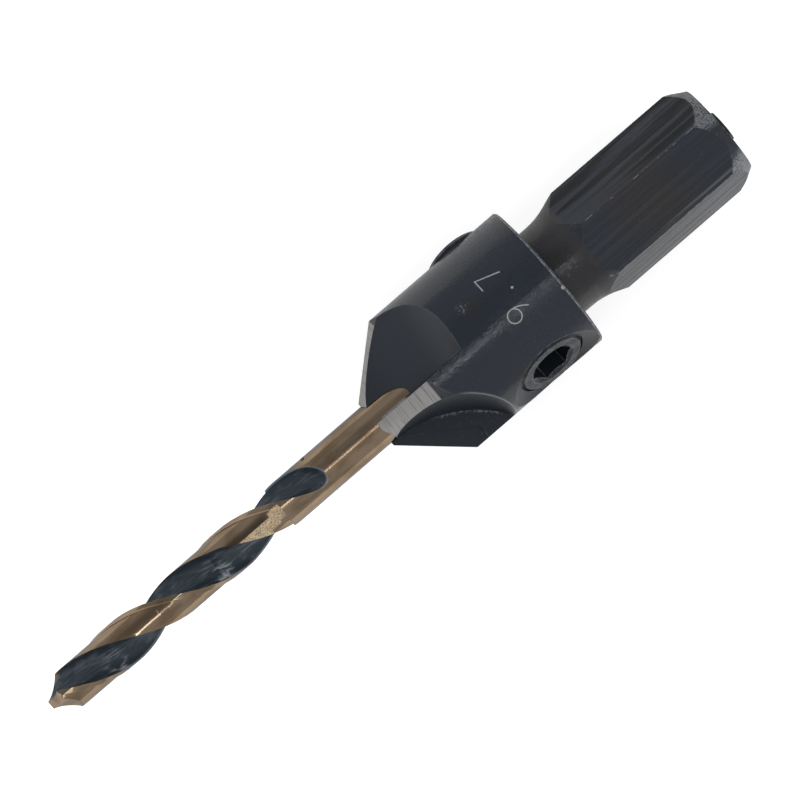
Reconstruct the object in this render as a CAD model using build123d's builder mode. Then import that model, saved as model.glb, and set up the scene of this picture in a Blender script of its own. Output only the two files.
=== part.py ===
from build123d import *

import math
import os

# Countersink bit for wood screws: a twist drill held by two set screws in the bore of a one-piece
# countersink with a hexagonal shank.  It lies on its collar, with the tool axis along X: the drill
# points to -X, the shank to +X, and the surface it lies on is Z = 0.  All lengths are in mm.
# Angles round the tool axis count from straight up (+Z) towards -Y, which is clockwise as seen
# from behind the tip; the cutting edges lead against that count.

# Pilot drill
drill_diameter = 2.778        # 7/64 inch
drill_reach = 25.0            # from its tip to the front of the countersink
drill_held = 17.0             # length inside the bore
flute_lead = 16.7             # advance of the flutes in one turn
flute_full_depth = 12.5       # fluted length before the web starts to thicken
web_growth = 0.035            # rise of the flute's floor for each mm from there on
flute_runout_start = 19.2     # from the tip to where the wheel lifts out of the flutes
flute_runout_radius = 2.2     # arc along which it lifts
flute_play = 0.01             # the wheel cuts this much wider where the web thickens
flute_offset = 1.22           # centre of the flute's rounded floor, from the drill axis
web_thickness = 0.54
margin_width = 0.32
margin_height = 0.12
margin_length = 17.56         # from the tip to where the land is no longer ground clear
land_turn = 10.0              # angle of the first land at the tip
point_angle = 118.0
lip_relief = 12.0
heel_relief = 52.0
heel_setback = 0.28           # from the drill axis to the steep facet behind each lip
drill_end_chamfer = 0.25

# Countersink head
collar_diameter = 9.70
head_length = 13.31           # from the front of the cone to the back of the collar
cone_angle = 84.0
cone_relief = 12.0            # how steeply each land falls behind its cutting edge
front_lip = 0.18              # width of the front ring round the bore
edge_break = 0.10
back_rise = 0.20              # how far the back face swells towards the neck
bore_clearance = 0.02
bore_bottom_gap = 1.0         # bore left free behind the drill

# Flutes of the cone, ground by a tapered wheel in two opposite pairs:
# wheel radius, wheel centre behind the cone's front, and floor height above the tool axis
open_flute = (6.4, 0.50, 1.05)
closed_flute = (7.4, 0.20, 1.41)
wheel_taper = 11.5
edge_ahead = 0.12             # the cutting edges stand this far ahead of the tool axis

# Hexagonal shank
shank_length = 13.14
hex_across_flats = 6.35       # 1/4 inch
hex_turn = 13.5               # angle of the first flat
neck_diameter = 5.96
neck_length = 3.19            # from the collar to the full hexagon
flare_radius = 4.6            # the neck flares to the hexagon's corners along this arc
end_chamfer_angle = 30.0
end_face_diameter = 5.80
pip_diameter = 2.0            # turning pip left on the end face
pip_height = 0.32

# Set screws, M5, and their tapped holes; threads are drawn at their pitch diameter
screw_station = 10.03         # behind the cone's front
screw_turn = 67.0             # angle of the tight screw; the other one stands opposite
screw_diameter = 4.48
screw_length = 3.0
screw_backed_out = 0.41       # how far the opposite screw stands further out
screw_chamfer = 0.20
socket_across_flats = 2.5
socket_depth = 1.5
socket_mouth_diameter = 3.1
cup_diameter = 2.5
cup_depth = 0.35
cup_rim = 0.08                # flat left round the cup
screw_seat = 0.01             # the tight screw stops this far from the drill
thread_clearance = 0.04
hole_countersink_diameter = 6.40
twist_drill_angle = 118.0     # bottoms of drilled holes and the holes' countersinks

# Cutting solids reach this far past what they cut
overshoot = 1.0

# Worked out from the sizes above
drill_radius = drill_diameter / 2
collar_radius = collar_diameter / 2
axis_height = collar_radius
bore_radius = drill_radius + bore_clearance
front_radius = bore_radius + front_lip
tip_x = -(drill_reach + head_length + shank_length + pip_height) / 2
front_x = tip_x + drill_reach
back_x = front_x + head_length
end_x = back_x + shank_length
cone_slope = math.tan(math.radians(cone_angle / 2))
shoulder_x = front_x + (collar_radius - front_radius) / cone_slope
drilled_slope = math.tan(math.radians(twist_drill_angle / 2))
tool_axis = Axis((0, 0, axis_height), (1, 0, 0))


def outward(turn):
    """Unit vector that points away from the tool axis at an angle round it."""
    angle = math.radians(turn)
    return Vector(0, -math.sin(angle), math.cos(angle))


def on_axis(x):
    return Vector(x, 0, axis_height)


def across(x, turn=0.0):
    """Plane across the tool axis; its X axis points outward at the angle."""
    return Plane(origin=on_axis(x), x_dir=outward(turn), z_dir=(1, 0, 0))


def along(turn=0.0):
    """Plane along the tool axis; its Y axis points outward at the angle."""
    return Plane(origin=on_axis(0), x_dir=(1, 0, 0), z_dir=outward(turn + 90))


# ---------------------------------------------------------------- pilot drill
flute_radius = flute_offset - web_thickness / 2
flute_tilt = math.atan(2 * math.pi * flute_offset / flute_lead)
flute_half_width = flute_radius / math.cos(flute_tilt)
clear_radius = drill_radius - margin_height

# Half the angle that one flute takes out of the drill's circle, where its rounded floor, an
# ellipse across the drill, meets that circle
squash = (flute_radius / flute_half_width) ** 2
quad_a = drill_radius**2 * (1 - squash)
quad_b = -2 * drill_radius * flute_offset
quad_c = flute_offset**2 + squash * drill_radius**2 - flute_radius**2
flute_half_cosine = (-quad_b - math.sqrt(quad_b**2 - 4 * quad_a * quad_c)) / (2 * quad_a)
leading_edge = math.degrees(math.acos(flute_half_cosine)) - 90

blank_x = tip_x - drill_radius
taper_x = tip_x + flute_full_depth
runout_x = tip_x + flute_runout_start
margin_end_x = tip_x + margin_length


def twist(x):
    """Angle of the first land at a place along the drill."""
    return land_turn + 360 * (x - tip_x) / flute_lead


def twisted(section, start_x, finish_x):
    """Part of the drill along which a section follows the flutes."""
    return Solid.extrude_linear_with_rotation(
        section.sketch.face(),
        center=on_axis(start_x),
        normal=(finish_x - start_x, 0, 0),
        angle=twist(finish_x) - twist(start_x),
    )


def make_land_section(x, fluted):
    """Two lands ground clear behind their margins, which reach past the drill's circle."""
    with BuildSketch(across(x, twist(x))) as section:
        Circle(clear_radius)
        with PolarLocations(0, 2, start_angle=leading_edge):
            Rectangle(drill_diameter, 2 * margin_width, align=(Align.MIN, Align.CENTER))
        if fluted:
            with PolarLocations(flute_offset, 2, start_angle=90):
                Ellipse(flute_radius, flute_half_width, mode=Mode.SUBTRACT)
    return section


# The stretch of one flute where it grows shallower and then runs out
runout_depth = drill_radius - web_thickness / 2
runout_end_x = runout_x + math.sqrt(runout_depth * (2 * flute_runout_radius - runout_depth))
with BuildPart() as flute_end:
    taper_steps = 4
    lift_steps = 3
    taper_length, lift_length = runout_x - taper_x, runout_end_x - runout_x
    stations = [taper_x + taper_length * step / taper_steps for step in range(taper_steps)]
    stations += [runout_x + lift_length * step / lift_steps for step in range(lift_steps + 1)]
    for x in stations:
        lift = flute_runout_radius - math.sqrt(flute_runout_radius**2 - max(0, x - runout_x) ** 2)
        floor_rise = web_growth * (x - taper_x) + lift
        with BuildSketch(across(x, twist(x) + 90)):
            with Locations((flute_offset + floor_rise, 0)):
                Ellipse(flute_radius + flute_play, flute_half_width + flute_play)
    loft()

with BuildPart() as pilot_drill:
    add(twisted(make_land_section(blank_x, True), blank_x, taper_x))
    add(twisted(make_land_section(taper_x, False), taper_x, margin_end_x))
    drill_end_x = front_x + drill_held
    with BuildSketch(across(margin_end_x)):
        Circle(drill_radius + overshoot)
    extrude(amount=drill_end_x - margin_end_x)
    with BuildSketch(across(blank_x)):
        Circle(drill_radius)
    extrude(amount=drill_end_x - blank_x, mode=Mode.INTERSECT)
    chamfer(edges().sort_by(Axis.X)[-1], length=drill_end_chamfer)

    for side in (0, 180):
        add(flute_end.part.rotate(tool_axis, side), mode=Mode.SUBTRACT)

    # Four facets make the point: behind each lip a gentle one, then a steep one
    lip_fall = 1 / math.tan(math.radians(point_angle / 2))
    lip_turn = (
        land_turn
        + leading_edge
        + 360 * drill_radius * lip_fall / flute_lead
        + math.degrees(math.asin(web_thickness / 2 / drill_radius))
    )
    heel_x = tip_x + heel_setback * math.tan(math.radians(lip_relief))
    for side in (0, 180):
        behind = outward(lip_turn + side + 90)
        for relief, start in (
            (lip_relief, on_axis(tip_x)),
            (heel_relief, on_axis(heel_x) + behind * heel_setback),
        ):
            fall = outward(lip_turn + side) * lip_fall
            fall += behind * math.tan(math.radians(relief))
            split(bisect_by=Plane(origin=start, z_dir=Vector(1, 0, 0) - fall))

# ---------------------------------------------------------------- countersink body
hex_corner_radius = hex_across_flats / 2 / math.cos(math.pi / 6)
flare_end_x = back_x + neck_length
flare_rise = hex_corner_radius - neck_diameter / 2
flare_start_x = flare_end_x - math.sqrt(2 * flare_radius * flare_rise - flare_rise**2)
end_chamfer_x = end_x - (hex_corner_radius - end_face_diameter / 2) / math.tan(
    math.radians(end_chamfer_angle)
)
bore_end_x = front_x + drill_held + bore_bottom_gap
cone_apex_x = front_x - front_radius / cone_slope

# What is ground off behind one cutting edge: the space outside a cone that shares the cutting
# edge and the apex of the countersink's cone but leans away from the land
relief_lean = math.atan(math.tan(math.radians(cone_relief)) * cone_slope)
leaning_axis = Vector(math.cos(relief_lean), 0, 0) - outward(90) * math.sin(relief_lean)
leaning_half_angle = math.acos(math.cos(math.radians(cone_angle / 2)) * math.cos(relief_lean))
relief_length = shoulder_x - front_x + overshoot

with BuildPart() as land_relief:
    with BuildSketch(across(front_x - edge_break)):
        Rectangle(2 * collar_radius, 2 * collar_radius, align=(Align.MIN, Align.MIN))
    extrude(amount=relief_length)
    with BuildSketch(
        Plane(origin=on_axis(cone_apex_x), x_dir=leaning_axis, z_dir=leaning_axis.cross(outward(0)))
    ):
        with BuildLine():
            cone_length = relief_length + collar_diameter
            cone_width = cone_length * math.tan(leaning_half_angle)
            Polyline((0, 0), (cone_length, 0), (cone_length, cone_width), close=True)
        make_face()
    revolve(axis=Axis(on_axis(cone_apex_x), leaning_axis), mode=Mode.SUBTRACT)

with BuildPart() as countersink_body:
    # Shank: a round bar with neck, flare and chamfered end, then milled to a hexagon
    with BuildSketch(along()):
        with BuildLine():
            neck_end = (flare_start_x, neck_diameter / 2)
            flare_end = (flare_end_x, hex_corner_radius)
            Polyline((back_x, 0), (back_x, neck_diameter / 2), neck_end)
            TangentArc(neck_end, flare_end, tangent=(1, 0))
            Polyline(
                flare_end,
                (end_chamfer_x, hex_corner_radius),
                (end_x, end_face_diameter / 2),
                (end_x, 0),
                (back_x, 0),
            )
        make_face()
    revolve(axis=tool_axis)
    with BuildSketch(across(back_x)):
        RegularPolygon(hex_across_flats / 2, 6, major_radius=False, rotation=hex_turn - 30)
    extrude(amount=shank_length, mode=Mode.INTERSECT)
    with BuildSketch(across(end_x)):
        Circle(pip_diameter / 2)
    extrude(amount=pip_height)

    # Head: cone and collar
    with BuildSketch(along()):
        with BuildLine():
            Polyline(
                (front_x, 0),
                (front_x, front_radius),
                (shoulder_x, collar_radius),
                (back_x - edge_break, collar_radius),
                (back_x, collar_radius - edge_break),
                (back_x + back_rise, neck_diameter / 2),
                (back_x + back_rise, 0),
                close=True,
            )
        make_face()
    revolve(axis=tool_axis)

    # Bore with its drilled bottom
    with BuildSketch(along()):
        with BuildLine():
            Polyline(
                (front_x - overshoot, 0),
                (front_x - overshoot, bore_radius),
                (bore_end_x, bore_radius),
                (bore_end_x + bore_radius / drilled_slope, 0),
                close=True,
            )
        make_face()
    revolve(axis=tool_axis, mode=Mode.SUBTRACT)

    # Four lands: relieved behind the cutting edge, with a ground flute in front of it
    for turn, (wheel_radius, wheel_setback, floor_height) in (
        (0, open_flute),
        (90, closed_flute),
        (180, open_flute),
        (270, closed_flute),
    ):
        add(land_relief.part.rotate(tool_axis, turn), mode=Mode.SUBTRACT)
        rake_plane = Plane(
            origin=on_axis(front_x + wheel_setback)
            + outward(turn) * (floor_height + wheel_radius)
            + outward(turn - 90) * edge_ahead,
            x_dir=(1, 0, 0),
            z_dir=outward(turn - 90),
        )
        with BuildSketch(rake_plane):
            Circle(wheel_radius)
        extrude(amount=collar_radius + overshoot, taper=-wheel_taper, mode=Mode.SUBTRACT)

    # Two tapped and countersunk holes for the set screws, on one line across the collar
    for turn in (screw_turn, screw_turn + 180):
        crest = on_axis(front_x + screw_station) + outward(turn) * collar_radius
        with Locations(Plane(origin=crest, x_dir=(1, 0, 0), z_dir=outward(turn))):
            CounterSinkHole(
                radius=screw_diameter / 2 + thread_clearance,
                counter_sink_radius=hole_countersink_diameter / 2,
                depth=collar_radius,
                counter_sink_angle=twist_drill_angle,
            )


# ---------------------------------------------------------------- set screws
def make_set_screw(turn, tip_height):
    """Cup-point set screw with a hexagon socket, its tip at a height above the tool axis."""
    face_centre = on_axis(front_x + screw_station) + outward(turn) * (tip_height + screw_length)
    face = Plane(origin=face_centre, x_dir=(1, 0, 0), z_dir=outward(turn))
    screw_axis = Axis(face_centre, outward(turn))
    mouth_radius = socket_mouth_diameter / 2
    socket_radius = socket_across_flats / 2
    cup_radius = cup_diameter / 2
    with BuildPart() as screw:
        with BuildSketch(face):
            Circle(screw_diameter / 2)
        extrude(amount=-screw_length)
        rims = screw.edges().filter_by(GeomType.CIRCLE).sort_by(screw_axis)
        chamfer(rims[-1], length=screw_chamfer)
        chamfer(rims[0], length=screw_diameter / 2 - cup_radius - cup_rim)
        with BuildSketch(face):
            RegularPolygon(socket_radius, 6, major_radius=False)
        extrude(amount=-socket_depth, mode=Mode.SUBTRACT)
        # Three shallow cones: the socket's mouth, its drilled bottom, and the cup at the tip
        with BuildSketch(Plane(origin=face_centre, x_dir=(1, 0, 0), z_dir=outward(turn + 90))):
            for radius, base, apex in (
                (mouth_radius, 0, -mouth_radius / drilled_slope),
                (socket_radius, -socket_depth, -socket_depth - socket_radius / drilled_slope),
                (cup_radius, -screw_length, cup_depth - screw_length),
            ):
                with BuildLine():
                    Polyline((0, base), (radius, base), (0, apex), close=True)
                make_face()
        revolve(axis=screw_axis, mode=Mode.SUBTRACT)
    return screw


tight_set_screw = make_set_screw(screw_turn, drill_radius + screw_seat)
raised_set_screw = make_set_screw(screw_turn + 180, drill_radius + screw_seat + screw_backed_out)

os.makedirs("parts", exist_ok=True)
for name, piece in (
    ("countersink_body", countersink_body),
    ("pilot_drill", pilot_drill),
    ("tight_set_screw", tight_set_screw),
    ("raised_set_screw", raised_set_screw),
):
    piece.part.label = name
    export_step(piece.part, f"parts/{name}.step")
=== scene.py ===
"""Countersink bit for wood screws: its finishes, size mark and a studio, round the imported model."""

import math

import bmesh
import bpy
from bpy.props import FloatProperty, FloatVectorProperty, PointerProperty
from mathutils import Matrix, Vector, noise


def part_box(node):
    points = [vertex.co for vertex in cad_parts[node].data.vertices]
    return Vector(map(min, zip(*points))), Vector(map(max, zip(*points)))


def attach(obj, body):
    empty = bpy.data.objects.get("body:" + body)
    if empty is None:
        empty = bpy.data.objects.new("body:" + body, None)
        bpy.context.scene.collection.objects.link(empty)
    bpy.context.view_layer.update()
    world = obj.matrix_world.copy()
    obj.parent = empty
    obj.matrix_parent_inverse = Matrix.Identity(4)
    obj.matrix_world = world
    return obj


bl_info = {
    "name": "Countersink Bit",
    "version": (1, 0, 0),
    "blender": (4, 5, 0),
    "location": "3D View > Sidebar > Countersink",
    "description": "Finishes a countersink bit with its pilot drill and set screws",
    "category": "Object",
}

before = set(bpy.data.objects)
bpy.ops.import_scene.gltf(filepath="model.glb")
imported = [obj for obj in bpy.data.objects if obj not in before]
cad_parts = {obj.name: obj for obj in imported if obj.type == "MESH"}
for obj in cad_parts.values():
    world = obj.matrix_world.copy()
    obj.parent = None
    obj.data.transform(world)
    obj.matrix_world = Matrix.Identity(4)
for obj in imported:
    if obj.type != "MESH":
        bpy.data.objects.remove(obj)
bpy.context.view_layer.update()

# The frame, in mm.  The tool lies along X on its collar, with the drill's tip towards -X.  Angles
# round the tool axis count in degrees from straight up towards -Y.
MM = 0.001
BODY_LOW, BODY_HIGH = (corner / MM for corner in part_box("countersink_body"))
DRILL_LOW, DRILL_HIGH = (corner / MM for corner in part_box("pilot_drill"))
SCREW_LOW, SCREW_HIGH = (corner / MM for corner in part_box("tight_set_screw"))
COLLAR_RADIUS = (BODY_HIGH.y - BODY_LOW.y) / 2
AXIS_HEIGHT = COLLAR_RADIUS
DRILL_RADIUS = (DRILL_HIGH.y - DRILL_LOW.y) / 2
TIP_X = DRILL_LOW.x
FRONT_X = BODY_LOW.x
SCREW_X = (SCREW_LOW.x + SCREW_HIGH.x) / 2

# Sizes of the model that the boxes don't give, in mm and degrees
HEAD_LENGTH = 13.31
NECK_LENGTH = 3.19
NECK_RADIUS = 2.98
FRONT_RADIUS = DRILL_RADIUS + 0.2
CONE_HALF_ANGLE = math.radians(42)
CONE_FLUTE_LENGTH = 3.3       # how far the cone's flutes reach into the collar
MARGIN_LENGTH = 17.56
FLUTE_LEAD = 16.7
MARGIN_STEP_TURN = -20.3      # angle of the step beside the drill's margin, wound back to the tip
SCREW_TURN = 67.0
SCREW_RADIUS = 2.24
THREAD_PITCH = 0.8
BACK_X = FRONT_X + HEAD_LENGTH
HEX_X = BACK_X + NECK_LENGTH
SHOULDER_X = FRONT_X + (COLLAR_RADIUS - FRONT_RADIUS) / math.tan(CONE_HALF_ANGLE)

# Angles between which the three flats of the hexagon that show from above lie, and how softly
# each one's mask ends
FLAT_TURNS = {"upper_flat": (-82, -19, 2), "middle_flat": (-19, 40, 2), "lower_flat": (40, 100, 4)}

# Grit-blasted patch on the drill's land, as three boxes: how far from the end of the ground margin
# each one starts and ends, in mm, and its two angles
BLASTED_BOXES = ((0.85, 0.0, -12, 27), (3.6, 0.46, 1, 34), (3.6, 1.2, 1, 48))

# Heavier smudges in the drill's flutes: distance from the tip, angle, size and soft border
SMUDGES = ((4.6, 47, 0.75, 0.5), (7.6, 40, 0.6, 0.5), (12.4, 50, 0.8, 0.6), (14.9, 42, 0.7, 0.5))

# The size mark: its text, and each figure's width and advance as shares of its height.  Its
# strokes stand 0.004 mm proud of the collar, so that they show, and are seated in it.
SIZE_MARK = "9.7"
FIGURE_WIDTH = 0.62
FIGURE_ADVANCE = 0.93
MARK_PROUD = 0.004
MARK_SEAT = -0.02


def linear(hex_colour, alpha=1.0):
    """An sRGB hex colour as the linear colour that Blender's nodes take."""
    channels = (int(hex_colour[place:place + 2], 16) / 255 for place in (1, 3, 5))
    return (*(c / 12.92 if c <= 0.04045 else ((c + 0.055) / 1.055) ** 2.4 for c in channels), alpha)


def finish_colour(name, description, hex_colour):
    """Colour property of a finish."""
    return FloatVectorProperty(
        name=name, description=description, subtype="COLOR", size=4, min=0, max=1,
        default=linear(hex_colour),
    )


class CountersinkFinishes(bpy.types.PropertyGroup):
    """Colours of the tool's finishes, and of the highlights and shade painted on it."""

    black_oxide: finish_colour("Black Oxide", "Blackened steel of the body", "#161b22")
    warm_oxide: finish_colour("Warm Oxide", "Where the black has a brown cast", "#1e1a19")
    dark_band: finish_colour("Dark Band", "Darkest of the bands along the hexagon", "#07070a")
    pale_band: finish_colour("Pale Band", "Palest of the bands along the hexagon", "#292824")
    # Also the colour of the painted highlight lines at the collar's back
    worn_oxide_and_highlight: finish_colour("Worn Oxide", "Edges and rubbed places of the black steel", "#8d9094")
    ground_steel: finish_colour("Ground Steel", "Bare lands of the cone", "#979592")
    ground_line: finish_colour("Ground Line", "Dark lines of the wheel on the lands", "#555557")
    bronze: finish_colour("Bronze Tint", "Tempered lands and shank of the drill", "#9f8a71")
    # Colour of the painted shade in a strip beside the blasted patch on the drill's land
    dark_bronze: finish_colour("Dark Bronze Tint", "Deeper patches of the tint", "#7d6850")
    painted_shade_bronze: finish_colour("Brown Bronze Tint", "Stain along the drill's land", "#42372b")
    # Also the colour of the painted highlights on the drill's land: the reflection line, its cross arm
    # and the cream of the blasted patch
    pale_bronze_and_highlight: finish_colour("Pale Bronze Tint", "Grit-blasted patches and rubbed edges", "#f0d9b2")
    flute: finish_colour("Flute Oxide", "Blue-black flutes of the drill", "#20272b")
    flute_bloom: finish_colour("Flute Bloom", "Pale smudges in the flutes", "#7b7f86")
    drill_shine: finish_colour("Drill Shine", "Cast of what the drill mirrors", "#cedbea")
    screw_black: finish_colour("Screw Black", "Blackened alloy steel of the set screws", "#171b20")
    etching: finish_colour("Etching", "Laser-etched strokes of the size mark", "#8c8c8c")
    burnt_etching: finish_colour("Burnt Etching", "Darker grains in the strokes", "#616161")


class CountersinkSizes(bpy.types.PropertyGroup):
    """Sizes and place of the etched mark."""

    mark_height: FloatProperty(
        name="Mark Height", description="Height of the etched figures",
        default=1.48 * MM, min=0.5 * MM, precision=5, unit="LENGTH",
    )
    mark_stroke: FloatProperty(
        name="Mark Stroke", description="Width of an etched stroke",
        default=0.075 * MM, min=0.02 * MM, precision=6, unit="LENGTH",
    )
    mark_setback: FloatProperty(
        name="Mark Setback", description="From the collar's back to the foot of the figures",
        default=2.3 * MM, min=0.5 * MM, precision=5, unit="LENGTH",
    )
    mark_turn: FloatProperty(
        name="Mark Turn", description="Angle of the mark's middle round the tool",
        default=math.radians(-10.5), subtype="ANGLE",
    )


class CountersinkStudio(bpy.types.PropertyGroup):
    """Light and paper of the studio."""

    paper: finish_colour("Paper", "Pale paper under the tool", "#d4d4d4")
    dome_cast: finish_colour("Dome Cast", "Colour of the dome that reflections see", "#f2f5ff")
    strip_power: FloatProperty(
        name="Strip Power", description="Narrow lamp over the tool", default=0.34, min=0, unit="POWER"
    )
    soft_power: FloatProperty(
        name="Soft Power", description="Each large soft lamp", default=9.0, min=0, unit="POWER"
    )
    dome: FloatProperty(
        name="Dome", description="Strength of the light from all round", default=0.55, min=0
    )
    frame_width: FloatProperty(
        name="Frame Width", description="Width of the picture at the tool", default=0.0466,
        min=0.01, unit="LENGTH",
    )


# ------------------------------------------------------------------ nodes
# Plain words for the settings that masks are made with: the node, its settings, and the inputs
# that its links feed in turn
MASK_WORDS = {
    # From 0 to 1, smoothly, as a value goes from one bound to the other
    "grows": ("MapRange", {"interpolation_type": "SMOOTHSTEP"}, (0, 1, 2)),
    # A colour that goes from one to another as a mask grows
    "tint": ("Mix", {"data_type": "RGBA"}, (0, 6, 7)),
    # A number that goes from one to another as a mask grows
    "level": ("Mix", {"data_type": "FLOAT"}, (0, 2, 3)),
}


def add(tree, kind, links=(), **settings):
    """Add a shader node with its settings and links, and return its first output in use.  The kind
    is Blender's name for it or one of the mask words.  Links feed its inputs, by place or by name,
    from a value or from another node's output."""
    if kind in MASK_WORDS:
        kind, settings, inputs = MASK_WORDS[kind]
        links = dict(zip(inputs, links))
    made = tree.nodes.new("ShaderNode" + kind)
    for name, value in settings.items():
        setattr(made, name, value)
    for key, value in links.items() if isinstance(links, dict) else enumerate(links):
        if isinstance(value, bpy.types.NodeSocket):
            tree.links.new(value, made.inputs[key])
        else:
            made.inputs[key].default_value = value
    return next((socket for socket in made.outputs if socket.enabled), None)


def start_material(name):
    """Empty node material; returns it with its tree."""
    material = bpy.data.materials.new(name)
    material.use_nodes = True
    material.node_tree.nodes.clear()
    return material, material.node_tree


def finish_material(tree, **surface):
    """End a tree in one Principled surface; underscores in the names stand for spaces."""
    links = {name.replace("_", " "): value for name, value in surface.items()}
    add(tree, "OutputMaterial", [add(tree, "BsdfPrincipled", links)])


def tool_place(tree):
    """Where a point lies on the tool, in mm: its place from the tool axis, its x and y, its radius
    from the axis and the way outward from it, and its angle round it in radians, in degrees and as
    an arc of the collar."""
    metres = add(tree, "TexCoord").node.outputs["Object"]
    place = add(tree, "VectorMath", [metres, (1 / MM,) * 3], operation="MULTIPLY")
    place = add(tree, "VectorMath", [place, (0, 0, -AXIS_HEIGHT)], operation="ADD")
    x, y, z = add(tree, "SeparateXYZ", [place]).node.outputs
    from_axis = add(tree, "VectorMath", [place, (0, 1, 1)], operation="MULTIPLY")
    towards_front = add(tree, "Math", [y, -1.0], operation="MULTIPLY")
    turn = add(tree, "Math", [towards_front, z], operation="ARCTAN2")
    return {
        "place": place,
        "x": x,
        "y": y,
        "radius": add(tree, "VectorMath", [from_axis], operation="LENGTH"),
        "outward": add(tree, "VectorMath", [from_axis], operation="NORMALIZE"),
        "turn": turn,
        "degrees": add(tree, "Math", [turn, 180 / math.pi], operation="MULTIPLY"),
        "arc": add(tree, "Math", [turn, COLLAR_RADIUS], operation="MULTIPLY"),
    }


def facing(tree, direction):
    """How far the surface faces a direction, as a cosine."""
    normal = add(tree, "NewGeometry").node.outputs["Normal"]
    return add(tree, "VectorMath", [normal, direction], operation="DOT_PRODUCT")


def both(tree, first, *others):
    """Where all of some masks hold: their product."""
    for other in others:
        first = add(tree, "Math", [first, other], operation="MULTIPLY")
    return first


def either(tree, first, *others):
    """Where any of some masks holds: the greatest of them."""
    for other in others:
        first = add(tree, "Math", [first, other], operation="MAXIMUM")
    return first


def between(tree, value, low, high, soft):
    """Mask of the values between two others, with soft ends."""
    above_low = add(tree, "grows", [value, low - soft, low + soft])
    below_high = add(tree, "grows", [value, high + soft, high - soft])
    return both(tree, above_low, below_high)


def grain(tree, at, cell, detail=3.0):
    """Noise whose cells have a given length along each axis, in mm."""
    frequency = tuple(1 / length for length in cell)
    vector = add(tree, "VectorMath", [at["place"], frequency], operation="MULTIPLY")
    return add(tree, "TexNoise", {"Vector": vector, "Scale": 1.0, "Detail": detail})


def unrolled_grain(tree, at, length, arc_length):
    """Noise on the collar's unrolled surface: cell length along the tool and round it, in mm."""
    along = add(tree, "Math", [at["x"], length], operation="DIVIDE")
    around = add(tree, "Math", [at["arc"], arc_length], operation="DIVIDE")
    vector = add(tree, "CombineXYZ", [along, around, 0.0])
    return add(tree, "TexNoise", {"Vector": vector, "Scale": 1.0, "Detail": 3.0})


def helical_grain(tree, at, length, width):
    """Noise drawn out along the drill's flutes: cell length along them and across them, in mm."""
    along = add(tree, "Math", [at["x"], length], operation="DIVIDE")
    wound = add(tree, "Math", [at["x"], -2 * math.pi / FLUTE_LEAD], operation="MULTIPLY")
    around = add(tree, "Math", [wound, at["turn"]], operation="ADD")
    around = add(tree, "Math", [around, DRILL_RADIUS / width], operation="MULTIPLY")
    depth = add(tree, "Math", [at["radius"], 2 * width], operation="DIVIDE")
    vector = add(tree, "CombineXYZ", [along, around, depth])
    return add(tree, "TexNoise", {"Vector": vector, "Scale": 1.0, "Detail": 5.0, "Distortion": 0.15})


def spot(tree, at, x, turn, radius, size, soft):
    """Mask round one place of the tool, given by its x, its angle and its radius."""
    angle = math.radians(turn)
    centre = (x, -radius * math.sin(angle), radius * math.cos(angle))
    away = add(tree, "VectorMath", [at["place"], centre], operation="DISTANCE")
    return add(tree, "grows", [away, size + soft, size - soft])


def worn_edge(tree, width):
    """Mask of the surface within a width, in mm, of a corner: where a rounded corner would lean
    away from the sharp one, by 6 degrees at first and by 22 in full."""
    rounded = add(tree, "Bevel", {"Radius": width * MM}, samples=6)
    return add(tree, "grows", [facing(tree, rounded), 0.995, 0.93])


# ------------------------------------------------------------------ the body's steel
def body_surfaces(tree, at):
    """Masks of the body's surfaces: all that is turned round the axis, the neck, the hexagon with
    its end and its flats, the cone's ground lands, and the cone's flutes towards -Y."""
    rise = facing(tree, at["outward"])
    lean = facing(tree, (1, 0, 0))
    on = {
        "turned": add(tree, "grows", [rise, 0.97, 0.99]),
        "neck": between(tree, at["x"], BACK_X + 0.2, HEX_X - 0.7, 0.2),
        "hexagon": add(tree, "grows", [at["x"], HEX_X - 0.9, HEX_X - 0.5]),
    }
    on["end"] = both(tree, on["hexagon"], add(tree, "grows", [lean, 0.3, 0.4]))
    for flat, turns in FLAT_TURNS.items():
        on[flat] = both(tree, on["hexagon"], between(tree, at["degrees"], *turns))

    # The lands lie close under the cone that the head was turned to, and face as it does
    cone_radius = add(tree, "MapRange", [at["x"], FRONT_X, SHOULDER_X, FRONT_RADIUS, COLLAR_RADIUS])
    under_cone = add(tree, "Math", [cone_radius, at["radius"]], operation="SUBTRACT")
    forward = add(tree, "Math", [lean, -math.sin(CONE_HALF_ANGLE)], operation="MULTIPLY")
    upright = add(tree, "Math", [rise, math.cos(CONE_HALF_ANGLE)], operation="MULTIPLY")
    as_cone = add(tree, "Math", [forward, upright], operation="ADD")
    on["land"] = both(
        tree,
        add(tree, "grows", [as_cone, 0.88, 0.93]),
        add(tree, "grows", [under_cone, 1.1, 1.0]),
        add(tree, "grows", [at["x"], SHOULDER_X + 0.03, SHOULDER_X - 0.03]),
    )
    flute_end_x = SHOULDER_X + CONE_FLUTE_LENGTH
    on["front_flutes"] = both(
        tree,
        between(tree, at["degrees"], 14, 130, 4),
        add(tree, "grows", [at["x"], flute_end_x + 0.1, flute_end_x - 0.1]),
        add(tree, "grows", [on["turned"], 0.5, 0.0]),
        add(tree, "grows", [on["land"], 0.5, 0.0]),
    )
    return on


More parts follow.
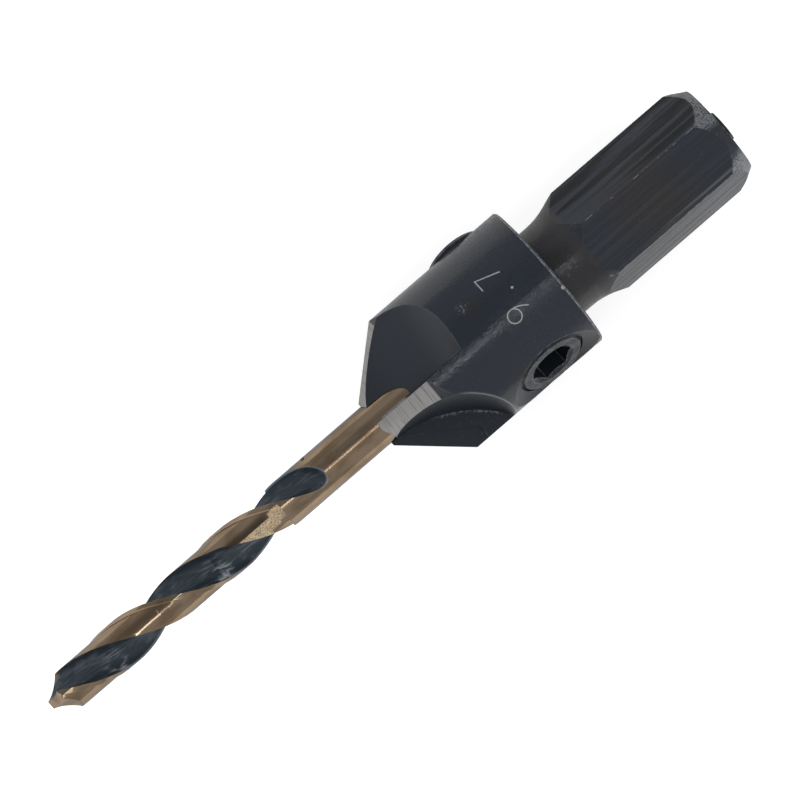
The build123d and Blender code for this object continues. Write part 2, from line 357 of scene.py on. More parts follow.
def cutter_marks(tree, at):
    """Noise for the marks of each cutter, in cells of the marks' real size, or of 0.05 to 0.09 mm
    where the real ones are too fine to show."""
    return {
        # Lathe: feed lines of about 0.05 mm round the collar
        "turned": unrolled_grain(tree, at, 0.05, 9.0),
        # Milling cutter: broad bands, lines and hairlines along the hexagon
        "bands": grain(tree, at, (10.0, 0.45, 0.45), 4.0),
        "milled": grain(tree, at, (9.0, 0.16, 0.16), 4.0),
        "hairlines": grain(tree, at, (14.0, 0.05, 0.05), 2.0),
        # Grinding wheel: lines of about 0.02 mm across the lands, drawn coarser to show
        "ground": grain(tree, at, (0.075, 3.0, 3.0), 4.0),
        # Parting tool: the torn grain of the end and its chamfer, drawn coarser to show
        "torn": grain(tree, at, (0.09, 0.09, 0.09), 2.0),
        # Specks of the oxide bath
        "specks": grain(tree, at, (0.16, 0.16, 0.16), 4.0),
    }


def cutter_relief(tree, on, marks):
    """Height and strength of the marks on each of the body's surfaces."""
    along = add(tree, "Math", [marks["milled"], marks["hairlines"]], operation="ADD")
    height = add(tree, "level", [on["hexagon"], marks["turned"], along])
    height = add(tree, "level", [on["land"], height, marks["ground"]])
    height = add(tree, "level", [on["end"], height, marks["torn"]])
    strength = add(tree, "level", [on["turned"], 0.02, 0.06])
    flat_strength = add(tree, "level", [on["lower_flat"], 0.45, 1.0])
    strength = add(tree, "level", [on["hexagon"], strength, flat_strength])
    strength = add(tree, "level", [either(tree, on["land"], on["end"]), strength, 0.6])
    return height, strength


def oxide_colour(tree, at, on, marks, finishes):
    """The black of the bath, brown in clouds, on the neck and in a patch of the hexagon, with
    dark bands and grey streaks along the flats."""
    clouds = grain(tree, at, (4.0, 2.2, 2.2))
    behind_cone = add(tree, "grows", [at["x"], SHOULDER_X, SHOULDER_X + 3.0])
    patch = spot(tree, at, x=HEX_X + 4.0, turn=8, radius=3.3, size=2.2, soft=1.6)
    warm = either(
        tree,
        both(tree, add(tree, "grows", [clouds, 0.52, 0.7]), behind_cone, 0.6),
        both(tree, on["neck"], 0.75),
        both(tree, patch, 0.8),
    )
    colour = add(tree, "tint", [warm, finishes.black_oxide, finishes.warm_oxide])
    band = both(
        tree,
        on["hexagon"],
        add(tree, "grows", [marks["bands"], 0.42, 0.68]),
        add(tree, "level", [on["middle_flat"], 0.85, 0.3]),
    )
    band_colour = add(tree, "tint", [marks["bands"], finishes.dark_band, finishes.pale_band])
    colour = add(tree, "tint", [band, colour, band_colour])
    streak = both(
        tree,
        on["hexagon"],
        add(tree, "grows", [marks["milled"], 0.48, 0.64]),
        add(tree, "level", [on["lower_flat"], 0.02, 0.3]),
    )
    return add(tree, "tint", [streak, colour, finishes.worn_oxide_and_highlight])


def edge_wear_and_highlights(tree, at, on, marks):
    """Mask of the edges where the body's oxide is rubbed to grey, and of painted highlights along the
    collar's back edge.
    """
    breakup = grain(tree, at, (0.5, 0.25, 0.25), 5.0)

    # The head's corners, and less so those at the front of the collar
    collar_front = between(tree, at["x"], SHOULDER_X - 1.0, SHOULDER_X + 4.5, 0.4)
    head_corners = both(
        tree,
        worn_edge(tree, 0.09),
        add(tree, "grows", [at["radius"], COLLAR_RADIUS - 0.55, COLLAR_RADIUS - 0.35]),
        add(tree, "grows", [breakup, 0.36, 0.62]),
        add(tree, "level", [collar_front, 1.0, 0.35]),
        0.55,
    )
    # Painted highlights: two thin grey lines, on either side of the broken edge at the collar's back
    painted_highlight_lines = both(
        tree,
        either(
            tree,
            between(tree, at["x"], BACK_X - 0.13, BACK_X - 0.08, 0.02),
            between(tree, at["x"], BACK_X - 0.02, BACK_X + 0.01, 0.01),
        ),
        add(tree, "grows", [at["radius"], COLLAR_RADIUS - 0.2, COLLAR_RADIUS - 0.1]),
        add(tree, "level", [add(tree, "grows", [breakup, 0.42, 0.55]), 0.3, 0.9]),
    )
    # The end's chamfer, at two corners of the hexagon above all
    two_corners = either(
        tree, between(tree, at["degrees"], -62, -8, 6), between(tree, at["degrees"], 36, 80, 6)
    )
    end_chamfer = both(
        tree,
        on["end"],
        add(tree, "grows", [marks["torn"], 0.3, 0.66]),
        add(tree, "level", [two_corners, 0.05, 1.0]),
        0.6,
    )
    # The hexagon's long corners, in short stretches
    long_corners = both(
        tree,
        worn_edge(tree, 0.07),
        add(tree, "grows", [at["x"], HEX_X, HEX_X + 0.4]),
        add(tree, "level", [add(tree, "grows", [breakup, 0.53, 0.58]), 0.03, 0.85]),
    )
    # The curved edge where the flutes in front run out on the collar
    flute_edge = both(
        tree,
        worn_edge(tree, 0.2),
        between(tree, at["degrees"], 24, 80, 5),
        between(tree, at["x"], SHOULDER_X, SHOULDER_X + 3.2, 0.2),
        add(tree, "grows", [at["radius"], COLLAR_RADIUS - 0.35, COLLAR_RADIUS - 0.15]),
        0.8,
    )
    # The ridge between the flutes in front, in the stretch that lies behind a slanting line
    aslant = add(tree, "Math", [at["x"], at["y"]], operation="ADD")
    ridge = both(
        tree,
        worn_edge(tree, 0.35),
        on["front_flutes"],
        add(tree, "grows", [at["radius"], COLLAR_RADIUS - 0.45, COLLAR_RADIUS - 0.65]),
        add(tree, "grows", [aslant, -0.3, 0.1]),
        add(tree, "grows", [marks["specks"], 0.46, 0.62]),
        0.6,
    )
    return either(tree, head_corners, painted_highlight_lines, end_chamfer, long_corners, flute_edge, ridge)


def surface_wear(tree, at, on, marks):
    """Mask of a scuff and a nick on the collar, scratches on the neck, chips and specks."""
    specks = marks["specks"]
    scuff = spot(tree, at, x=BACK_X - 5.325, turn=-22.5, radius=COLLAR_RADIUS, size=0.35, soft=0.2)
    nick = spot(tree, at, x=BACK_X - 0.12, turn=12.5, radius=COLLAR_RADIUS, size=0.12, soft=0.03)
    scratched = spot(tree, at, x=BACK_X + 1.1, turn=8, radius=NECK_RADIUS, size=0.55, soft=0.35)
    scratches = grain(tree, at, (0.35, 0.08, 0.08))
    return either(
        tree,
        both(tree, scuff, add(tree, "grows", [specks, 0.5, 0.62]), 0.22),
        both(tree, nick, add(tree, "grows", [specks, 0.38, 0.5])),
        both(tree, scratched, add(tree, "grows", [scratches, 0.56, 0.64]), 0.16),
        both(tree, on["front_flutes"], add(tree, "grows", [specks, 0.6, 0.7]), 0.07),
        both(tree, add(tree, "grows", [specks, 0.74, 0.8]), 0.5),
    )


def black_oxide_turned_steel(finishes):
    """Medium carbon steel, turned and milled, then blackened in a hot oxide bath.  The black is
    thin: it shows the cutters' lines, has a blue or a brown cast, and wears to grey on the
    corners, with painted highlights as grey lines along the collar's back edge.  The cone's lands
    are ground after it and are bare, with the lines of the wheel."""
    material, tree = start_material("black_oxide_turned_steel")
    at = tool_place(tree)
    on = body_surfaces(tree, at)
    marks = cutter_marks(tree, at)
    # Grey marks: rubbed edges, scuffs and specks, and painted highlight lines at the collar's back
    grey_marks = either(tree, edge_wear_and_highlights(tree, at, on, marks), surface_wear(tree, at, on, marks))

    colour = oxide_colour(tree, at, on, marks, finishes)
    colour = add(tree, "tint", [grey_marks, colour, finishes.worn_oxide_and_highlight])
    dark_line = both(tree, add(tree, "grows", [marks["ground"], 0.5, 0.36]), 0.45)
    bare = add(tree, "tint", [dark_line, finishes.ground_steel, finishes.ground_line])
    colour = add(tree, "tint", [on["land"], colour, bare])
    metal = add(tree, "level", [on["land"], both(tree, grey_marks, 0.5), 0.8])

    # The oxide is a dark satin, patchy where it was turned, and duller towards the collar's back,
    # where fingers hold it.  The flats mirror unequally, and the one towards +Y in bands.
    patches = grain(tree, at, (0.35, 0.35, 0.35), 5.0)
    satin = add(tree, "MapRange", [patches, 0.35, 0.65, 0.1, 0.24])
    handled = both(tree, add(tree, "grows", [at["x"], BACK_X - 6.0, BACK_X - 2.5]), 0.1)
    satin = add(tree, "Math", [satin, handled], operation="ADD")
    rough = add(tree, "level", [on["turned"], 0.4, satin])
    rough = add(tree, "level", [on["hexagon"], rough, 0.32])
    rough = add(tree, "level", [grey_marks, rough, 0.5])
    rough = add(tree, "level", [on["land"], rough, 0.42])
    gloss = add(tree, "level", [on["middle_flat"], 0.5, 0.36])
    band_gloss = add(tree, "level", [add(tree, "grows", [marks["bands"], 0.42, 0.58]), 0.42, 0.1])
    gloss = add(tree, "level", [on["upper_flat"], gloss, band_gloss])
    gloss = add(tree, "level", [on["front_flutes"], gloss, 0.3])

    # Cutters' marks, and over them the crystals of the bath: a few microns wide, drawn as a mottle
    # of 0.19 mm so that they show
    height, strength = cutter_relief(tree, on, marks)
    lines = add(tree, "Bump", {"Strength": strength, "Distance": 0.025 * MM, "Height": height})
    mottle = {
        "Strength": add(tree, "level", [on["turned"], 0.12, 1.0]),
        "Distance": 0.011 * MM,
        "Height": grain(tree, at, (0.19, 0.19, 0.19), 1.5),
        "Normal": lines,
    }
    finish_material(
        tree, Base_Color=colour, Metallic=metal, Roughness=rough, Specular_IOR_Level=gloss,
        Normal=add(tree, "Bump", mottle),
    )
    return material


# ------------------------------------------------------------------ the drill's steel
def ground_surfaces(tree, at, from_tip):
    """Masks of what was ground on the drill after its flutes: all of it, and the step beside each
    margin alone."""
    rise = facing(tree, at["outward"])
    lean = facing(tree, (1, 0, 0))
    round_side = both(
        tree, add(tree, "grows", [rise, 0.80, 0.88]), add(tree, "grows", [at["radius"], 1.15, 1.2])
    )
    point = both(
        tree, add(tree, "grows", [lean, -0.3, -0.38]), add(tree, "grows", [from_tip, 1.6, 1.3])
    )
    # Degrees from the nearer of the two steps, which wind along the drill half a turn apart
    unwound = add(tree, "Math", [from_tip, -360 / FLUTE_LEAD, at["degrees"]], operation="MULTIPLY_ADD")
    past_step = add(tree, "Math", [unwound, MARGIN_STEP_TURN], operation="SUBTRACT")
    past_step = add(tree, "Math", [past_step, 90.0, -90.0], operation="WRAP")
    past_step = add(tree, "Math", [past_step], operation="ABSOLUTE")
    margin_step = both(
        tree,
        add(tree, "grows", [at["radius"], DRILL_RADIUS - 0.135, DRILL_RADIUS - 0.12]),
        add(tree, "grows", [rise, 0.86, 0.8]),
        add(tree, "grows", [past_step, 7.0, 5.0]),
    )
    return either(tree, round_side, point, margin_step), margin_step


def blasted_patch(tree, at, from_tip, grit):
    """Mask of the grit-blasted patch where the ground margin ends, square across the land."""
    boxes = (
        both(
            tree,
            between(tree, from_tip, MARGIN_LENGTH - far, MARGIN_LENGTH - near, 0.04),
            between(tree, at["degrees"], low, high, 2),
        )
        for far, near, low, high in BLASTED_BOXES
    )
    return both(tree, either(tree, *boxes), add(tree, "grows", [grit, 0.2, 0.4]))


def bronze_colour(tree, at, from_tip, clouds, pale, finishes):
    """The straw and bronze of tempering: deeper in patches and along drawn-out lines, with painted
    shade in a brown strip beside the blasted patch, and pale where a mask says."""
    deeper = both(tree, add(tree, "grows", [clouds, 0.4, 0.66]), 0.8)
    colour = add(tree, "tint", [deeper, finishes.bronze, finishes.dark_bronze])
    lines = grain(tree, at, (3.0, 0.07, 0.07))
    drawn = both(tree, add(tree, "grows", [lines, 0.55, 0.75]), 0.35)
    colour = add(tree, "tint", [drawn, colour, finishes.dark_bronze])
    # Painted shade: a dark brown strip along the land, beside the blasted patch
    painted_shade_strip = both(
        tree,
        between(tree, from_tip, MARGIN_LENGTH - 4.6, MARGIN_LENGTH - 1.0, 0.3),
        add(tree, "grows", [at["degrees"], -24, -6]),
        add(tree, "grows", [at["degrees"], 5, 1]),
        0.65,
    )
    colour = add(tree, "tint", [painted_shade_strip, colour, finishes.painted_shade_bronze])
    return add(tree, "tint", [pale, colour, finishes.pale_bronze_and_highlight])


def flute_bloom(tree, at):
    """Mask of the pale smudges that chips rubbed along the flutes, and of the flutes' rims."""
    smudge = add(tree, "grows", [helical_grain(tree, at, 0.9, 0.2), 0.46, 0.68])
    heavier = either(tree, *(
        spot(tree, at, x=TIP_X + away, turn=turn, radius=1.0, size=size, soft=soft)
        for away, turn, size, soft in SMUDGES
    ))
    rim = both(tree, add(tree, "grows", [at["radius"], DRILL_RADIUS - 0.16, DRILL_RADIUS - 0.05]), 0.6)
    return either(tree, both(tree, smudge, add(tree, "level", [heavier, 0.14, 1.0])), rim)


def tempered_high_speed_steel(finishes):
    """High-speed steel drill.  Its flutes keep the blue-black oxide of steam tempering, with pale
    smudges; the lands and the shank are ground after it and tempered once more to a thin straw
    and bronze colour, under fine wheel lines."""
    material, tree = start_material("tempered_high_speed_steel")
    at = tool_place(tree)
    from_tip = add(tree, "Math", [at["x"], TIP_X], operation="SUBTRACT")
    ground, margin_step = ground_surfaces(tree, at, from_tip)

    # Pale on the blasted patch, browned here and there, whose grit is real and whose pale cream is
    #     partly painted highlight; on a painted reflection, a thin line with a painted highlight as
    #     its cross arm, nearer the tip; and on stretches of the land's edges where rubbing took the
    #     tint off.
    #     The grit's dents of 0.02 mm are drawn as 0.075 mm so that they show.
    grit = grain(tree, at, (0.075, 0.075, 0.075))
    patch = blasted_patch(tree, at, from_tip, grit)
    patch_browning = grain(tree, at, (0.4, 0.3, 0.3))
    browned = add(tree, "level", [add(tree, "grows", [patch_browning, 0.45, 0.65]), 1.0, 0.62])
    # Painted reflection: a thin bright line along the land, and a painted highlight across it at its
    # far end
    painted_reflection_line = both(
        tree, between(tree, from_tip, 6.4, 8.25, 0.04), between(tree, at["degrees"], 4, 8.5, 1)
    )
    painted_highlight_arm = both(
        tree, between(tree, from_tip, 8.17, 8.27, 0.03), between(tree, at["degrees"], -9, 7, 1.5)
    )
    rubbed = both(
        tree,
        worn_edge(tree, 0.03),
        add(tree, "grows", [grain(tree, at, (0.8, 0.3, 0.3)), 0.4, 0.6]),
        add(tree, "grows", [at["radius"], DRILL_RADIUS - 0.12, DRILL_RADIUS - 0.08]),
        0.5,
    )
    pale = either(
        tree,
        both(tree, patch, add(tree, "grows", [grit, 0.32, 0.54]), browned),
        both(tree, either(tree, painted_reflection_line, painted_highlight_arm), 0.5),
        rubbed,
    )

    clouds = grain(tree, at, (2.4, 0.9, 0.9), 4.0)
    bronze = bronze_colour(tree, at, from_tip, clouds, pale, finishes)
    bloom = flute_bloom(tree, at)
    oxide = add(tree, "tint", [bloom, finishes.flute, finishes.flute_bloom])
    oxide = add(tree, "tint", [both(tree, rubbed, 0.6), oxide, finishes.pale_bronze_and_highlight])
    colour = add(tree, "tint", [ground, oxide, bronze])
    metal = add(tree, "level", [ground, 0.1, add(tree, "level", [margin_step, 1.0, 0.15])])

    satin = add(tree, "MapRange", [clouds, 0.3, 0.7, 0.12, 0.2])
    rough_ground = add(tree, "level", [patch, satin, 0.6])
    rough_flute = add(tree, "level", [bloom, 0.3, 0.5])
    rough = add(tree, "level", [ground, rough_flute, rough_ground])

    # Wheel lines of about 0.02 mm round the drill, drawn 0.05 mm apart so that they show
    wheel_lines = grain(tree, at, (0.05, 2.5, 2.5), 2.0)
    relief = {
        "Strength": both(
            tree, add(tree, "level", [patch, 0.12, 0.6]), add(tree, "level", [ground, 0.5, 1.0])
        ),
        "Distance": 0.02 * MM,
        "Height": add(tree, "level", [patch, wheel_lines, grit]),
    }
    finish_material(
        tree, Base_Color=colour, Metallic=metal, Roughness=rough, Specular_Tint=finishes.drill_shine,
        Normal=add(tree, "Bump", relief),
    )
    return material


# ------------------------------------------------------------------ the screws and the mark
def black_oxide_alloy_steel(finishes, name, turn, gloss):
    """Alloy steel set screw, cold headed, thread rolled and blackened: a soft black with a grey
    rubbed rim round the socket and on the thread's crests."""
    material, tree = start_material(name)
    at = tool_place(tree)

    # Place in the screw's own frame: height along it, angle round it and radius from it, in mm
    angle = math.radians(turn)
    outward = (0, -math.sin(angle), math.cos(angle))
    sideways = (0, math.cos(angle), math.sin(angle))
    height = add(tree, "VectorMath", [at["place"], outward], operation="DOT_PRODUCT")
    side = add(tree, "VectorMath", [at["place"], sideways], operation="DOT_PRODUCT")
    along_tool = add(tree, "Math", [at["x"], SCREW_X], operation="SUBTRACT")
    around = add(tree, "Math", [side, along_tool], operation="ARCTAN2")
    spread = add(tree, "CombineXYZ", [along_tool, side, 0.0])
    radius = add(tree, "VectorMath", [spread], operation="LENGTH")

    # Rolled thread, as the rise and fall of its flanks along the screw
    turns = add(tree, "Math", [around, 1 / (2 * math.pi)], operation="MULTIPLY")
    climb = add(tree, "Math", [height, 1 / THREAD_PITCH], operation="MULTIPLY")
    phase = add(tree, "Math", [climb, turns], operation="ADD")
    flank = add(tree, "Math", [phase, 1.0], operation="PINGPONG")
    on_thread = add(tree, "grows", [radius, SCREW_RADIUS - 0.06, SCREW_RADIUS - 0.02])

    # Rubbed rim and crests, specks, and a little dust on what faces out of the hole; the bath's
    # crystals are drawn as 0.12 mm so that they show
    grit = grain(tree, at, (0.12, 0.12, 0.12), 4.0)
    faces_out = add(tree, "grows", [facing(tree, outward), 0.6, 0.9])
    rim = both(
        tree,
        worn_edge(tree, 0.1),
        add(tree, "grows", [radius, 1.2, 1.35]),
        add(tree, "grows", [grit, 0.35, 0.6]),
        0.8,
    )
    dusty = both(
        tree,
        faces_out,
        add(tree, "grows", [grit, 0.3, 0.7]),
        add(tree, "grows", [radius, 1.2, 1.3]),
        0.03,
    )
    crest = both(tree, on_thread, add(tree, "grows", [flank, 0.8, 0.95]), 0.4)
    specks = both(tree, add(tree, "grows", [grit, 0.7, 0.78]), 0.4)
    grey_marks = either(tree, rim, crest, specks, dusty)

    colour = add(tree, "tint", [grey_marks, finishes.screw_black, finishes.worn_oxide_and_highlight])
    rough = add(tree, "level", [grey_marks, 0.3, 0.5])
    patches = add(tree, "grows", [grain(tree, at, (0.5, 0.5, 0.5)), 0.4, 0.6])
    patchy_gloss = add(tree, "level", [patches, 0.4 * gloss, gloss])
    crystals = add(tree, "Bump", {"Strength": 0.4, "Distance": 0.01 * MM, "Height": grit})
    thread = {"Distance": 0.3 * MM, "Height": both(tree, flank, on_thread), "Normal": crystals}
    finish_material(
        tree, Base_Color=colour, Roughness=rough, Specular_IOR_Level=patchy_gloss,
        Normal=add(tree, "Bump", thread),
    )
    return material


def laser_etched_steel(finishes):
    """The oxide burnt off in fine strokes: matt grey, uneven in grains of about 0.06 mm."""
    material, tree = start_material("laser_etched_steel")
    grains = grain(tree, tool_place(tree), (0.06, 0.06, 0.06))
    burnt = both(tree, add(tree, "grows", [grains, 0.7, 0.3]), 0.35)
    colour = add(tree, "tint", [burnt, finishes.etching, finishes.burnt_etching])
    bump = add(tree, "Bump", {"Strength": 0.6, "Distance": 0.01 * MM, "Height": grains})
    finish_material(tree, Base_Color=colour, Metallic=0.2, Roughness=0.6, Normal=bump)
    return material


# ------------------------------------------------------------------ pieces
def circle_points(centre, radius, steps):
    """Points round a circle, from its right side back to where they started."""
    angles = (2 * math.pi * step / steps for step in range(steps + 1))
    return [centre + radius * Vector((math.cos(angle), math.sin(angle))) for angle in angles]


def stroke_points(figure):
    """Middle lines of a figure's strokes, in a box 1 high and as wide as a figure."""
    middle_x = FIGURE_WIDTH / 2
    if figure == "9":
        bowl_radius = 0.29
        bowl_centre = Vector((middle_x, 1 - bowl_radius))
        tail_steps = 14
        tail = [
            Vector((middle_x + bowl_radius - middle_x * share**2, bowl_centre.y * (1 - share)))
            for share in (step / tail_steps for step in range(tail_steps + 1))
        ]
        return [circle_points(bowl_centre, bowl_radius, 28), tail]
    if figure == "7":
        steps = 8
        corners = [Vector((0.04, 1)), Vector((0.58, 1)), Vector((0.2, 0))]
        points = [
            start.lerp(end, step / steps)
            for start, end in zip(corners, corners[1:])
            for step in range(steps)
        ]
        return [points + corners[-1:]]
    return [circle_points(Vector((middle_x, 0.05)), 0.03, 10)]


def cut_stroke(mesh, points, stroke, seat):
    """Add one stroke as a thin closed band, mitred at its corners and seated on the collar."""
    closed = (points[0] - points[-1]).length < 1e-6
    last = len(points) - 1
    sections = []
    for index, point in enumerate(points):
        before = points[index - 1] if index else (points[-2] if closed else None)
        after = points[index + 1] if index < last else (points[1] if closed else None)
        ways = [(point - before).normalized()] if before else []
        ways += [(after - point).normalized()] if after else []
        way = sum(ways, Vector((0, 0))).normalized()
        side = Vector((-way.y, way.x)) * stroke / 2
        side /= max(0.5, way.dot(ways[0]))
        sections.append([
            mesh.verts.new(seat(point - side, MARK_SEAT)),
            mesh.verts.new(seat(point + side, MARK_SEAT)),
            mesh.verts.new(seat(point + side, MARK_PROUD)),
            mesh.verts.new(seat(point - side, MARK_PROUD)),
        ])
    for first, second in zip(sections, sections[1:]):
        for corner in range(4):
            following = (corner + 1) % 4
            mesh.faces.new((first[corner], first[following], second[following], second[corner]))
    if not closed:
        mesh.faces.new(reversed(sections[0]))
        mesh.faces.new(sections[-1])


def rough_lump(mesh, centre, size, seed):
    """Add a small torn lump: a ball of a given half size in mm, pushed in and out by noise."""
    depth, ripples = 0.45, 1.9
    lump = bmesh.ops.create_icosphere(mesh, subdivisions=3, radius=1.0)["verts"]
    for vert in lump:
        push = 1 + depth * noise.noise(vert.co * ripples + Vector((seed, 0, 0)))
        vert.co = (push * vert.co * Vector(size) + centre) * MM


def new_piece(name, mesh, material):
    """Object of the tool from a finished bmesh."""
    bmesh.ops.remove_doubles(mesh, verts=mesh.verts, dist=1e-8)
    bmesh.ops.recalc_face_normals(mesh, faces=mesh.faces)
    data = bpy.data.meshes.new(name)
    mesh.to_mesh(data)
    mesh.free()
    data.materials.append(material)
    piece = bpy.data.objects.new(name, data)
    bpy.context.scene.collection.objects.link(piece)
    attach(piece, "root")
    return piece


def give(node, material):
    """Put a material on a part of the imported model."""
    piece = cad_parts[node]
    if not piece.material_slots:
        raise RuntimeError(f"{node} has no material slot")
    piece.material_slots[0].material = material


# ------------------------------------------------------------------ operators
class COUNTERSINK_OT_finish_body(bpy.types.Operator):
    """Blacken the countersink body and grind its lands bright"""

    bl_idname = "countersink.finish_body"
    bl_label = "Finish Body"

    def execute(self, context):
        give("countersink_body", black_oxide_turned_steel(context.scene.countersink_finishes))
        return {"FINISHED"}


class COUNTERSINK_OT_finish_drill(bpy.types.Operator):
    """Temper the pilot drill: bronze lands and shank, blue-black flutes"""

    bl_idname = "countersink.finish_drill"
    bl_label = "Finish Pilot Drill"

    def execute(self, context):
        give("pilot_drill", tempered_high_speed_steel(context.scene.countersink_finishes))
        return {"FINISHED"}


class COUNTERSINK_OT_finish_screws(bpy.types.Operator):
    """Blacken the two set screws and roll their threads"""

    bl_idname = "countersink.finish_screws"
    bl_label = "Finish Set Screws"

    def execute(self, context):
        finishes = context.scene.countersink_finishes
        # The raised one stands out of its hole and is worn dull
        for node, turn, gloss in (
            ("tight_set_screw", SCREW_TURN, 0.36), ("raised_set_screw", SCREW_TURN + 180, 0.1)
        ):
            name = f"black_oxide_alloy_steel_{node}"
            give(node, black_oxide_alloy_steel(finishes, name, turn, gloss))
        return {"FINISHED"}


class COUNTERSINK_OT_etch_mark(bpy.types.Operator):
    """Etch the cutting diameter, as a plain number, on the collar"""

    bl_idname = "countersink.etch_mark"
    bl_label = "Etch Size Mark"

    def execute(self, context):
        sizes = context.scene.countersink_sizes
        height = sizes.mark_height / MM
        stroke = sizes.mark_stroke / sizes.mark_height
        foot_x = BACK_X - sizes.mark_setback / MM
        mark_width = FIGURE_ADVANCE * (len(SIZE_MARK) - 1) + FIGURE_WIDTH
        mesh = bmesh.new()

        def seat(at, lift):
            """Place on the collar: figures stand with their heads towards the tip."""
            radius = COLLAR_RADIUS + lift
            turn = sizes.mark_turn - at.x * height / COLLAR_RADIUS
            return Vector((
                foot_x - at.y * height,
                -radius * math.sin(turn),
                AXIS_HEIGHT + radius * math.cos(turn),
            )) * MM

        for place, figure in enumerate(SIZE_MARK):
            offset = Vector((FIGURE_ADVANCE * place - mark_width / 2, 0))
            for points in stroke_points(figure):
                cut_stroke(mesh, [point + offset for point in points], stroke, seat)
        material = laser_etched_steel(context.scene.countersink_finishes)
        new_piece("etched_size_mark", mesh, material)
        return {"FINISHED"}


class COUNTERSINK_OT_leave_burr(bpy.types.Operator):
    """Leave the small burr where a flute runs out on the drill's shank"""

    bl_idname = "countersink.leave_burr"
    bl_label = "Leave Burr"

    def execute(self, context):
        from_tip, turn = 20.4, math.radians(-70)
        centre = Vector((
            TIP_X + from_tip,
            -DRILL_RADIUS * math.sin(turn),
            AXIS_HEIGHT + DRILL_RADIUS * math.cos(turn),
        ))
        mesh = bmesh.new()
        rough_lump(mesh, centre, (0.12, 0.08, 0.09), seed=3.0)
        # It has the same oxide as the set screw beside it
        finishes = context.scene.countersink_finishes
        material = black_oxide_alloy_steel(finishes, "black_oxide_torn_steel", SCREW_TURN, 0.36)
        new_piece("flute_burr", mesh, material)
        return {"FINISHED"}


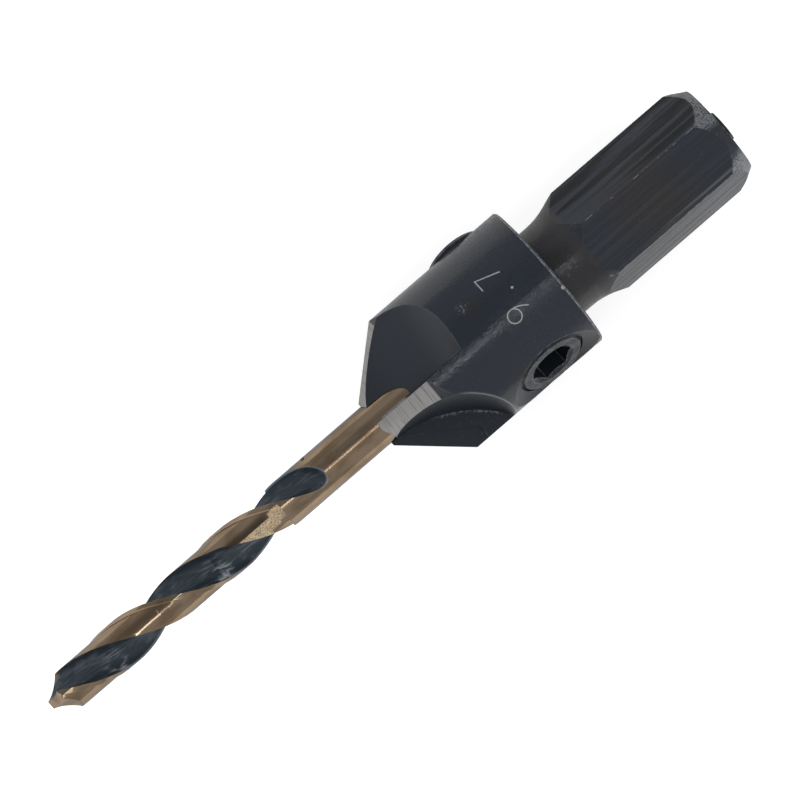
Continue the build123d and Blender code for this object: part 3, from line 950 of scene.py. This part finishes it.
class COUNTERSINK_OT_set_stage(bpy.types.Operator):
    """Lay the pale paper and set the soft studio light and the camera"""

    bl_idname = "countersink.set_stage"
    bl_label = "Set Stage"

    def execute(self, context):
        scene = context.scene
        studio = scene.countersink_studio
        scene.view_settings.view_transform = "Standard"
        self.lay_paper(scene, studio)
        self.light_world(scene, studio)
        # A narrow strip along the tool, a little in front of it, which the steel mirrors, and two
        # soft lamps, which it doesn't
        square = (0.8, 0.8)
        self.hang_lamp(scene, "strip_lamp", (0, -0.103, 0.6), (0.8, 0.036), studio.strip_power, True)
        self.hang_lamp(scene, "soft_lamp_back", (-0.5, 0.7, 0.6), square, studio.soft_power, False)
        self.hang_lamp(scene, "soft_lamp_front", (0.5, -0.8, 0.6), square, studio.soft_power, False)
        self.place_camera(scene, studio)
        return {"FINISHED"}

    def lay_paper(self, scene, studio):
        """Floor that looks white to the camera, and that the steel mirrors a little brighter in
        front of the tool."""
        mesh = bmesh.new()
        bmesh.ops.create_grid(mesh, x_segments=1, y_segments=1, size=3.0)
        data = bpy.data.meshes.new("paper_floor")
        mesh.to_mesh(data)
        mesh.free()
        floor = bpy.data.objects.new("paper_floor", data)
        scene.collection.objects.link(floor)
        material, tree = start_material("matt_white_paper")
        rays = add(tree, "LightPath").node.outputs
        place = add(tree, "TexCoord").node.outputs["Object"]
        across = add(tree, "SeparateXYZ", [place]).node.outputs["Y"]
        in_front = add(tree, "grows", [across, 0.0, -6 * MM])
        mirrored = both(tree, rays["Is Glossy Ray"], in_front, 0.15)
        seen = both(tree, rays["Is Camera Ray"], 0.5)
        matt = add(tree, "BsdfDiffuse", {"Color": studio.paper})
        glow = add(tree, "Emission", {"Strength": either(tree, mirrored, seen)})
        add(tree, "OutputMaterial", [add(tree, "AddShader", [matt, glow])])
        data.materials.append(material)

    def light_world(self, scene, studio):
        """White behind everything, and a soft dome that the steel mirrors darker overhead and a
        little darker towards the back."""
        world = bpy.data.worlds.new("studio")
        scene.world = world
        world.use_nodes = True
        tree = world.node_tree
        tree.nodes.clear()
        front_strength, back_strength, overhead_strength = 0.60, 0.52, 0.33
        dark_lean = math.radians(17)
        dark_way = (0, math.sin(dark_lean), math.cos(dark_lean))
        rays = add(tree, "LightPath").node.outputs
        way = add(tree, "TexCoord").node.outputs["Generated"]
        across = add(tree, "SeparateXYZ", [way]).node.outputs["Y"]
        towards_dark = add(tree, "VectorMath", [way, dark_way], operation="DOT_PRODUCT")
        at_back = add(tree, "grows", [across, -0.2, 0.4])
        sides = add(tree, "level", [at_back, front_strength, back_strength])
        is_overhead = add(tree, "grows", [towards_dark, 0.82, 0.97])
        strength = add(tree, "level", [is_overhead, sides, overhead_strength])
        white = (1, 1, 1, 1)
        mirrored = add(tree, "Background", {"Color": studio.dome_cast, "Strength": strength})
        dome = add(tree, "Background", {"Color": white, "Strength": studio.dome})
        behind = add(tree, "Background", {"Color": white, "Strength": 1.0})
        around = add(tree, "MixShader", [rays["Is Glossy Ray"], dome, mirrored])
        add(tree, "OutputWorld", [add(tree, "MixShader", [rays["Is Camera Ray"], around, behind])])

    def hang_lamp(self, scene, name, place, size, power, mirrored):
        """Rectangular lamp that faces the tool with its long side along it."""
        lamp = bpy.data.lights.new(name, "AREA")
        lamp.shape = "RECTANGLE"
        lamp.size, lamp.size_y = size
        lamp.energy = power
        holder = bpy.data.objects.new(name, lamp)
        scene.collection.objects.link(holder)
        holder.visible_glossy = mirrored
        back = (Vector(place) - Vector((0, 0, AXIS_HEIGHT * MM))).normalized()
        up = back.cross(Vector((1, 0, 0))).normalized()
        holder.matrix_world = Matrix((up.cross(back), up, back)).transposed().to_4x4()
        holder.matrix_world.translation = Vector(place)

    def place_camera(self, scene, studio):
        """Camera nearly straight above, turned so that the tool lies across the picture."""
        camera = bpy.data.cameras.new("camera")
        holder = bpy.data.objects.new("camera", camera)
        scene.collection.objects.link(holder)
        tilt, turn = math.radians(3.0), math.radians(40.8)
        along = Vector((math.cos(tilt), 0, math.sin(tilt)))
        across = Vector((0, 1, 0))
        right = along * math.cos(turn) - across * math.sin(turn)
        up = along * math.sin(turn) + across * math.cos(turn)
        back = along.cross(across)
        distance = 0.7
        # The middle of the picture lies 2 mm past the cone's front and just behind the tool's axis
        aim = Vector((FRONT_X + 2.0, 0.184, AXIS_HEIGHT)) * MM
        holder.matrix_world = Matrix((right, up, back)).transposed().to_4x4()
        holder.matrix_world.translation = aim + back * distance
        camera.sensor_width = 36
        camera.lens = camera.sensor_width * distance / studio.frame_width
        camera.clip_start = 0.01
        scene.camera = holder


class COUNTERSINK_PT_tool(bpy.types.Panel):
    """Finishes, mark and studio of the countersink bit"""

    bl_idname = "COUNTERSINK_PT_tool"
    bl_label = "Countersink Bit"
    bl_space_type = "VIEW_3D"
    bl_region_type = "UI"
    bl_category = "Countersink"

    def draw(self, context):
        scene = context.scene
        for group in (scene.countersink_finishes, scene.countersink_sizes, scene.countersink_studio):
            box = self.layout.box()
            for name in group.__annotations__:
                box.prop(group, name)
        for operator in OPERATORS:
            self.layout.operator(operator.bl_idname)


OPERATORS = (
    COUNTERSINK_OT_finish_body,
    COUNTERSINK_OT_finish_drill,
    COUNTERSINK_OT_finish_screws,
    COUNTERSINK_OT_etch_mark,
    COUNTERSINK_OT_leave_burr,
    COUNTERSINK_OT_set_stage,
)
CLASSES = (CountersinkFinishes, CountersinkSizes, CountersinkStudio, *OPERATORS, COUNTERSINK_PT_tool)


def register():
    for made_class in CLASSES:
        bpy.utils.register_class(made_class)
    bpy.types.Scene.countersink_finishes = PointerProperty(type=CountersinkFinishes)
    bpy.types.Scene.countersink_sizes = PointerProperty(type=CountersinkSizes)
    bpy.types.Scene.countersink_studio = PointerProperty(type=CountersinkStudio)


def unregister():
    del bpy.types.Scene.countersink_studio
    del bpy.types.Scene.countersink_sizes
    del bpy.types.Scene.countersink_finishes
    for made_class in reversed(CLASSES):
        bpy.utils.unregister_class(made_class)


def main():
    register()
    bpy.ops.countersink.finish_body()
    bpy.ops.countersink.finish_drill()
    bpy.ops.countersink.finish_screws()
    bpy.ops.countersink.etch_mark()
    bpy.ops.countersink.leave_burr()
    bpy.ops.countersink.set_stage()


if __name__ == "__main__":
    main()
